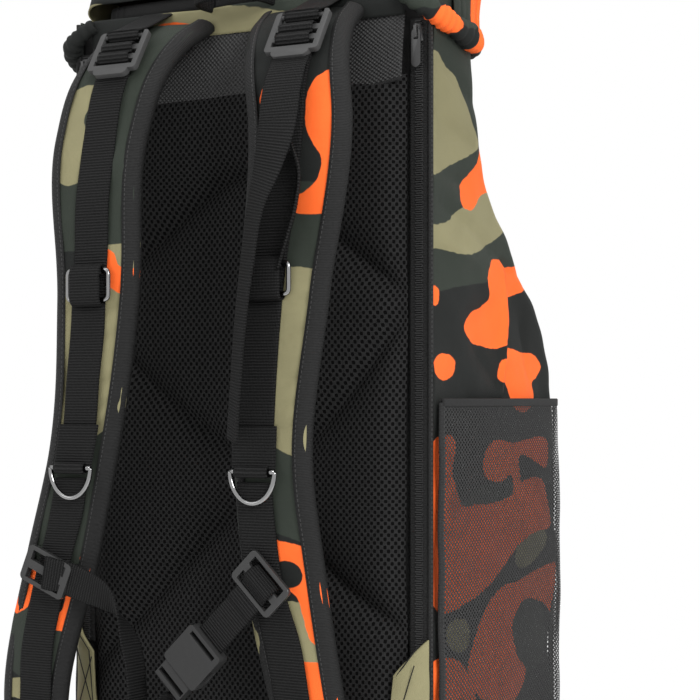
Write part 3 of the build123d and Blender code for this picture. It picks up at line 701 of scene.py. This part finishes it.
for side in SIGNS:
    rows = strap_rows(side, STRAP_CENTRES, section, .59, .046, STRAP_HALVES)
    reach = np.minimum(np.arange(len(rows)), np.arange(len(rows))[::-1])[:, None, None] * .0015
    middle = rows.mean(1, keepdims=True)
    rows = middle + (rows - middle) * (.55 + .45 * np.sqrt(np.clip(reach / .006, 0, 1)))
    folds = []
    for height in (.37, .35, .318, .3, .286):
        x = at(STRAP_CENTRES[side], height)
        y = at([(z, depth) for depth, z in STRAP_LINE], height) - .007
        folds.append(((x + .004, y, height), (x + .03, y, height + .01), .0035, .0011))
    rows, _ = wrinkled(rows, 31, .0006, .035, folds)
    strap = paint(skin(f"strap_{side}", rows, caps=True), STRAP_BLOBS[side], (0, 2), 13, lambda p: np.zeros(len(p)))
    settle(strap, CAMO, nodes=[f"strap_pad_{side}"])
    for edge, sign in (("outer", SIGNS[side]), ("inner", -SIGNS[side])):
        halves = [(z, half) for z, half in STRAP_HALVES]
        centre = strap_rows(side, STRAP_CENTRES, np.array([(sign, 0.)]), .59, .046, halves)
        plain = strap_rows(side, {side: [(.6, 0), (0, 0)]}, EDGE * (sign, 1), .59, .046)
        plain[..., 0] += centre[..., 0]
        tape = thicken(skin(f"strap_tape_{side}_{edge}", plain), .0008, 1 if sign > 0 else -1)
        settle(tape, BINDING, nodes=[f"strap_pad_{side}"])

    for name, top, bottom, width in (("rail_web", .546, .288, .03), ("ring_tab", .291, .258, .036),
                                     ("lower_rail", .252, .052, .03)):
        rows = strap_rows(side, RAIL_CENTRES, oval(width, .002, 7, 28), top, bottom, lift=.0083)
        rows[..., 1] -= .0005 * (1 + lumps(rows, .03, 8)) + (.0012 if name == "ring_tab" else 0)
        settle(skin(f"{name}_{side}_web", rows, caps=True), WEBBING, nodes=[f"{name}_{side}"])
    for name, height in (("rail_web", .402), ("ring_tab", .258), ("lower_rail", .052)):
        place = strap_place(side, height, FITTING_DEPTH)
        wrap(f"{name}_{side}_fold", place, (0, 0, 1), (0, -1, 0), (.0036, .0034), .0275, nodes=[f"{name}_{side}"])
    x, y, z = strap_place(side, .402, FITTING_DEPTH)
    loop = oval(.036, .022, 9, 96)
    path = np.stack([x + loop[:, 0], np.full(len(loop), y), z - .011 + loop[:, 1]], 1)
    settle(skin(f"ring_{side}", swept(path, (0, 1, 0), WIRE)), CHROME, f"mid_ring_{side}",
           [f"mid_ring_{side}"])
    band(f"ring_cover_{side}", track([(x, y - .003, z + .003), (x, y - .0048, z - .002), (x, y - .0046, z - .012),
                                      (x, y - .0046, z - .0215), (x, y - .003, z - .025), (x, y, z - .0258),
                                      (x, y + .0028, z - .0235)]), section=oval(.0275, .0018, 7, 28),
         body=f"mid_ring_{side}")
    x, y, z = strap_place(side, .258, FITTING_DEPTH)
    turn = np.linspace(0, TURN / 2, 60)
    arc = np.stack([x + .018 * np.cos(turn), np.full(60, y), z - .022 * np.sin(turn)], 1)
    rod(f"half_ring_{side}", arc, (0, 1, 0), WIRE, CHROME, f"d_ring_{side}", [f"d_ring_{side}"])
    bar = np.stack([np.linspace(x - .018, x + .018, 12), np.full(12, y), np.full(12, z)], 1)
    rod(f"half_ring_bar_{side}", bar, (0, 1, 0), WIRE, CHROME, f"d_ring_{side}", [f"d_ring_{side}"])

    # the upper lock, its two turns of webbing and the webbing that holds it
    x = at(RAIL_CENTRES[side], .56)
    up, out = np.array([0, .5408, .8412]), np.array([0, -.8412, .5408])
    pivot = np.array([x, -.046, .575])
    softened(f"ladder_lock_{side}", LOCK_GREY, f"ladder_lock_{side}", .0009)
    for index, reach in enumerate((-.0125, -.0216)):
        wrap(f"lock_turn_{side}_{index}", pivot + up * reach, up, out, (.0044, .0052), .0275, f"ladder_lock_{side}")
    path = track([(x, -.048, .5787), (x, -.04, .5812), (x, -.02, .59), (x, -.01, .5945), (x, -.0022, .5985)])
    band(f"lock_anchor_{side}", path, nodes=["lock_anchors"])
    wrap(f"lock_anchor_fold_{side}", pivot, (0, 0, 1), (0, -1, 0), (.0035, .0035), .0275, nodes=["lock_anchors"])

    # the lower lock and the webbing that runs to the wing
    softened(f"lower_lock_{side}", LOCK_GREY, f"lower_lock_{side}", .0009)
    x, y, z = strap_place(side, .052, FITTING_DEPTH)
    hold = .139 if side == "left" else -.13
    band(f"lower_run_{side}", track([(x + .02, y + .001, .0265), (x + .024, y + .001, .027), (hold, -.015, .036)]),
         (0, 0, 1), NARROW, nodes=[f"lower_web_{side}"])

# the loose end of the left webbing, turned edge-on lower down
path = track([(.0765, -.06, .548), (.0768, -.069, .538), (.0772, -.078, .52), (.0775, -.085, .494),
              (.0725, -.0885, .468), (.0645, -.09, .443), (.057, -.0905, .4), (.0515, -.0905, .359),
              (.047, -.09, .31), (.0435, -.088, .279)])
angle = np.radians(at([(.55, 0), (.494, 0), (.468, -16), (.443, -33), (.4, -40.5), (.359, -43.5), (.27, -45)],
                      path[:, 2]))
band("loose_end", path, np.stack([np.cos(angle), np.sin(angle), 0 * angle], 1), nodes=["lifter_tail_left"])
path = track([(.086, -.079, .48), (.0925, -.081, .464), (.0915, -.083, .44), (.085, -.0835, .418),
              (.076, -.08, .399)])
band("loose_fold", path, (.5, -.86, .05), oval(.016, .002, 7, 24), nodes=["lifter_tail_left"])

# ---------------------------------------------------------------- sternum strap
CHEST_Y = -.0644
slots = {"left": (np.array([.0524, -.06443, .18]), np.array([.7071, 0, -.7071])),
         "right": (np.array([-.1346, -.06443, .18]), np.array([.9242, 0, -.3818]))}
out = np.array([0, -1., 0])
for side, (origin, tilt) in slots.items():
    softened(f"sternum_slider_{side}", GUNMETAL, f"sternum_{side}", .0011)
origin, _ = slots["left"]
axis, width_way = np.array([-.7071, 0, -.7071]), np.array([.7071, 0, -.7071])
run = [(-.0085, -.003), (-.006, -.0005), (-.0035, .0034), (0, .0044), (.004, .0036), (.0085, .0006), (.0144, .0001),
       (.035, .0004), (.056, .0001), (.0655, -.0005)]
band("chest_web_left", track([origin + axis * a + out * b for a, b in run]), width_way, NARROW, "sternum_left",
     ["sternum_web_left"])
wrap("chest_web_stitch", origin + axis * .0205, axis, out, (.006, .0014), .025, "sternum_left")
for node, body in (("buckle_socket", "sternum_left"), ("buckle_plug", "buckle_plug"),
                   ("buckle_prong_upper", "prong_upper"), ("buckle_prong_lower", "prong_lower")):
    softened(node, PLASTIC, body, .001 if node == "buckle_socket" else .0006)
path = track([(-.1346, -.0684, .18), (-.127, -.0675, .1785), (-.118, -.065, .1765), (-.103, CHEST_Y, .172),
              (-.073, CHEST_Y, .158), (-.057, CHEST_Y, .126), (-.0515, CHEST_Y, .078)])
turned = np.clip((np.arange(len(path)) / len(path) - .18) / .45, 0, 1)[:, None] ** 1.3
facing = np.array([.38, 0, .92]) * (1 - turned) + np.array([0, -1, 0]) * turned
band("chest_web_right", path, facing, NARROW, nodes=["sternum_web_right"],
     ends=("sternum_right", "root", (-.12, CHEST_Y, .177), (-.0515, CHEST_Y, .078)))
path = track([(-.0515, CHEST_Y, .079), (-.0512, CHEST_Y, .062), (-.0435, CHEST_Y, .0555)])
band("chest_slack_fixed", path, (0, -1, 0), NARROW, nodes=["sternum_web_slack"],
     ends=("root", "sternum_left", (-.0515, CHEST_Y, .079), (-.044, CHEST_Y, .0565)))
path = track([(-.0435, CHEST_Y, .0555), (-.0362, CHEST_Y, .062), (-.035, CHEST_Y, .084), (-.0275, CHEST_Y, .0945),
              (-.0235, CHEST_Y, .099)])
band("chest_slack_free", path, (0, -1, 0), NARROW, nodes=["sternum_web_slack"],
     ends=("sternum_left", "buckle_plug", (-.0435, CHEST_Y, .056), (-.0275, CHEST_Y, .094)))


# ---------------------------------------------------------------- lid and front pocket
def cover(profile, half, corner, drop, step=.004):
    """Rows along a profile and across a cover whose ends turn down into side walls that drop to a line."""
    line = track(profile, step)
    along = unit(np.gradient(line, axis=0))
    out = np.stack([along[:, 1], -along[:, 0]], 1)
    bend = np.linspace(0, TURN / 4, 10)
    flat = np.linspace(corner - half, half - corner, int(2 * (half - corner) / step))
    x = np.r_[corner - half - corner * np.sin(bend[:0:-1]), flat, half - corner + corner * np.sin(bend[1:])]
    inset = np.r_[corner * (1 - np.cos(bend[:0:-1])), 0 * flat, corner * (1 - np.cos(bend[1:]))]
    body = np.stack([np.broadcast_to(x, (len(line), len(x))), line[:, :1] - inset * out[:, :1],
                     line[:, 1:] - inset * out[:, 1:]], -1)
    share = np.linspace(0, 1, 22)[1:, None]
    walls = []
    for end in (body[:, 0], body[:, -1]):
        target = drop(end)
        walls.append(end[:, None] * (1 - share) + target[:, None] * share)
    return np.concatenate([walls[0][:, ::-1], body, walls[1]], 1)


def lid_drop(end):
    """Where the lid's side walls end."""
    return np.stack([end[:, 0] * 1.002, np.clip(end[:, 1], .004, .06), np.full(len(end), .568)], 1)


def pocket_drop(end):
    """Where the front pocket's side walls meet the bag."""
    return np.stack([end[:, 0], at([(z, y) for z, y in FRONT], end[:, 2]) - .001, end[:, 2]], 1)


rows = cover(LID_PROFILE, .1555, .022, lid_drop)
rows, normal = wrinkled(rows, 17, .0013, .06)
near_hem = np.exp(-np.clip(rows[..., 2] - .566, 0, 1) / .016)
ripple = np.sin((rows[..., 0] + rows[..., 1] * 1.3) * TURN / .0125 + 2.2 * lumps(rows, .04, 5))
rows = rows + normal * (near_hem * ripple * .0016)[..., None]
lid = paint(skin("lid_cloth", rows), [
    ("green", .15, .03, .03, .02), ("khaki", .148, .078, .03, .012), ("orange", .156, .06, .012, .01)], (0, 1), 41)
settle(thicken(lid, LINED_CLOTH, -1), CAMO, "lid", ["lid_shell"])
half_path = [(.131, -.01, .594), (.143, -.0125, .586), (.154, -.006, .579), (.16, .01, .572),
             (.161, .03, .568), (.159, .052, .565), (.15, .072, .5635), (.13, .084, .5625),
             (.1, .0872, .5618)]
path = track(half_path + [(0, .0878, .5612)] + [(-x, y, z) for x, y, z in half_path[::-1]], .0013)
gather = np.arange(len(path)) * .0013
swell = 1 + .09 * np.sin(gather * TURN / .0068 + 2.5 * lumps(path, .03, 2)) + .1 * lumps(path, .014, 3)
swell *= 1 + .55 * np.exp(-((np.abs(path[:, 0]) - .157) / .01) ** 2) * (path[:, 1] < .06)
hem = oval(.011, .0098, 2.2, 30)[None] * swell[:, None, None]
hem = paint(skin("lid_hem", swept(path, (.02, 0, 1), hem), caps=True), [
    ("green", -.012, .592, .012, .014), ("orange", .006, .573, .014, .01), ("green", .03, .58, .014, .012),
    ("orange", .05, .565, .012, .01), ("dark", .033, .562, .01, .008)], (1, 2), 44,
            lambda p: np.where(np.abs(p[:, 0]) < .09, 1., 0.), lambda p: p[:, 0] > 0)
settle(hem, CAMO, "lid", ["lid_shell"])
lining = np.array([[(x, y, .6208) for x in np.linspace(-.1525, .1525, 60)] for y in np.linspace(.0125, .0785, 18)])
lining, _ = wrinkled(lining, 19, .0006, .04)
settle(thicken(skin("lid_lining_cloth", lining), .001), BLACK, "lid", ["lid_lining"])
for name, at_x in (("left", .07), ("right", -.07)):
    path = track([(at_x, .0848, .612), (at_x, .0905, .576), (at_x, .0895, .52), (at_x, .114, .466),
                  (at_x, .1455, .428), (at_x, .179, .386)])
    path[:, 1] += .0004
    band(f"lid_strap_web_{name}", path, (1, 0, 0), NARROW, "lid", ["lid_straps"])

rows = cover(POCKET_PROFILE, .118, .016, pocket_drop)
rows, _ = wrinkled(rows, 23, .0011, .05)
pocket = paint(skin("pocket_cloth", rows), seed=51)
settle(thicken(pocket, LINED_CLOTH, -1), CAMO, nodes=["front_pocket"])

zips = [("lid_zip", "lid", (0, .0842, .629), (0, 0, 1), (0, 1, 0), .109),
        ("front_zip", "root", (0, .2372, .3375), (0, .7071, -.7071), (0, .7071, .7071), .099)]
for node, body, centre, side_way, normal, half in zips:
    path = np.array(centre) + np.linspace(-half, half, 60)[:, None] * np.array([1, 0, 0])
    rod(f"{node}_tape", path, side_way, oval(.015, .0012, 6, 20), BINDING, body, [node])
    coil = teeth(f"{node}_teeth", path[[0, -1]] + np.array(normal) * .0005, normal)
    settle(coil, PLASTIC, body, [node])
for place in ("side_zip_{}_left", "side_zip_{}_right", "lid_zip_{}", "front_zip_{}"):
    for kind in ("slider", "pull"):
        node = place.format(kind)
        softened(node, GUNMETAL, node, .0003)

# ---------------------------------------------------------------- net pockets, wings, haul loop
WING_FACE = -.0146
for side, sign in SIGNS.items():
    rows = []
    for t in np.linspace(0, 1, 76):
        height = .007 + .299 * t
        depth = at(FRONT, height)
        y = np.linspace(.0065, depth - .0015, 62)
        corner = np.clip((y - depth + .02) / .02, 0, 1)
        bulge = .0045 * np.sin(np.pi * np.linspace(0, 1, 62)) ** .7 * (.5 + .5 * t)
        x = .1558 - .02 * (1 - np.sqrt(1 - corner**2)) + bulge
        rows.append(np.stack([sign * (x + .0012), y, np.full(62, height)], 1))
    rows, _ = wrinkled(rows, 61, .0006, .05)
    net = skin(f"net_{side}", rows)
    settle(net, NET, nodes=[f"mesh_pocket_{side}"])
    for name, path, way in (("top", rows[-1], (0, 0, 1)), ("rear", rows[:, 0], (0, 1, 0)),
                            ("front", rows[:, -1], (0, 1, 0)), ("foot", rows[0], (0, 0, 1))):
        width = .006 if name == "top" else .009
        rod(f"net_tape_{side}_{name}", path, way, oval(width, .0016, 4, 16), BINDING,
            nodes=[f"mesh_pocket_{side}"])

    rows = []
    for t in np.linspace(0, 1, 40):
        low = np.array([.151, .024]) * (1 - t) + np.array([.124, .052]) * t
        high = np.array([.151, .141]) * (1 - t) + np.array([.13, .116]) * t
        share = np.linspace(0, 1, 40)[:, None]
        spot = low * (1 - share) + high * share
        depth = -.0122 + .009 * (1 - t) ** 3 - .0012 * np.sin(np.pi * share[:, 0]) * t
        rows.append(np.stack([sign * spot[:, 0], depth, spot[:, 1]], 1))
    rows, _ = wrinkled(rows, 71, .0006, .03)
    wing = paint(skin(f"wing_{side}", rows), [("khaki", 0, .09, .3, .06)], (1, 2), 8, lambda p: np.zeros(len(p)))
    settle(thicken(wing, .0026, 0), CAMO, nodes=["wings"])
    for name, a, b in (("rising", (.128, .07), (.146, .124)), ("falling", (.146, .062), (.13, .112)),
                       ("edge", (.1265, .054), (.1325, .1165)), ("top", (.1325, .1165), (.15, .1385))):
        line = np.linspace((sign * a[0], WING_FACE, a[1]), (sign * b[0], WING_FACE, b[1]), 30)
        rod(f"wing_stitch_{side}_{name}", line, (1, 0, 0), oval(.0009, .0007, 2, 8), BLACK)

turn = np.linspace(0, TURN / 2, 30)
haul_half, haul_height = .027, .603
arc = np.stack([haul_half * np.cos(turn), -.018 - haul_half * np.sin(turn), np.full(30, haul_height)], 1)
start = [(haul_half, -.0015, haul_height), (haul_half, -.008, haul_height)]
end = [(-haul_half, -.008, haul_height), (-haul_half, -.0015, haul_height)]
path = track(np.concatenate([start, arc, end]), smooth=False)
band("haul_web", path, (0, 0, 1), oval(.018, .0028, 5, 24), "haul_loop", ["haul_loop"])

for node in ("snap_tops", "snap_bases"):
    softened(node, GUNMETAL, "lid" if node == "snap_tops" else "root", .0006)
for node, look in (("frame_sheet", SHEET), ("stays", STAY)):
    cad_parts[node].data.materials.clear()
    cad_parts[node].data.materials.append(look)

# ---------------------------------------------------------------- studio
paper = Look("Paper", Roughness=.9)
paper.colour(paper.mix(paper.noise(paper.node("TexCoord").outputs["Object"], 3), grey(.88), grey(.92)))
turn = np.linspace(0, TURN, 97)
disc = np.stack([np.cos(turn), np.sin(turn), 0 * turn], 1)
ground = skin("ground", [disc * r + (0, .08, -.0006) for r in (.001, .2, .4, .56)])
ground.data.materials.append(paper.material)

bpy.context.scene.view_settings.view_transform = "Standard"
world = bpy.data.worlds.new("Studio")
bpy.context.scene.world = world
world.use_nodes = True
world.node_tree.nodes["Background"].inputs["Color"].default_value = (1, 1, 1, 1)
world.node_tree.nodes["Background"].inputs["Strength"].default_value = 1.0
for name, place, size, power in (("Key", (2.3, -1.5, 1.5), .9, 60), ("Fill", (-1.4, -2.0, 1.5), 1.2, 8),
                                 ("Top", (0, -.2, 2.4), 1.2, 12)):
    lamp = bpy.data.lights.new(name, "AREA")
    lamp.size, lamp.energy = size, power
    holder = bpy.data.objects.new(name, lamp)
    holder.location = place
    holder.rotation_euler = (Vector((0, .05, .3)) - Vector(place)).to_track_quat("-Z", "Y").to_euler()
    bpy.context.collection.objects.link(holder)

lens = bpy.data.cameras.new("Camera")
lens.sensor_width, lens.lens, lens.shift_x, lens.shift_y = 36, 104.9, .148, .071
camera = bpy.data.objects.new("Camera", lens)
camera.location, camera.rotation_euler = (.795, -1.272, .308), (np.radians(90), 0, np.radians(32))
bpy.context.collection.objects.link(camera)
bpy.context.scene.camera = camera
